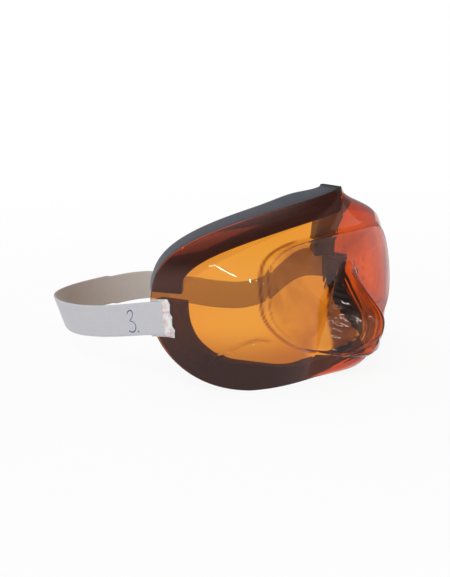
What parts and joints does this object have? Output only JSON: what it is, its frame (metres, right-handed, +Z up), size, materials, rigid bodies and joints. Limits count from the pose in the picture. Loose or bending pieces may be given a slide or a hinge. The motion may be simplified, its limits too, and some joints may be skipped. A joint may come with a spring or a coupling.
{
  "type": "fin swimming mask",
  "caption": "Wrap-around transparent swimming mask moulded in one piece with a nose pocket, foam face seal and a flat elastic head band glued to the temples",
  "frame": {"origin": "on the table, under the middle of the whole mask with its band laid out", "axes": "+X to the wearer's left, -Y the way the wearer looks, +Z up when it stands on its lower edge and the rear of its band"},
  "size_m": [0.1756, 0.2452, 0.115],
  "materials": {
    "lens": "transparent amber moulding, polished",
    "foam": "closed-cell foam rubber, matt skin",
    "adhesive": "dried contact adhesive",
    "elastic": "woven elastic, pale grey"
  },
  "bodies": {
    "mask": {"lens": "lens", "seal_brow": "foam", "seal_right": "foam", "seal_left": "foam", "seal_lip": "foam", "bond_right": "adhesive", "bond_left": "adhesive", "band_side_right": "elastic", "band_side_left": "elastic"},
    "bow": {"band_rear": "elastic"}
  },
  "joints": [
    {"name": "band_stretch", "type": "slide", "parent": "mask", "child": "bow", "axis": [0, 1, 0], "range_m": [0, 0.04], "stiffness_N_per_m": 150, "deforming": ["band_side_right", "band_side_left"]}
  ]
}
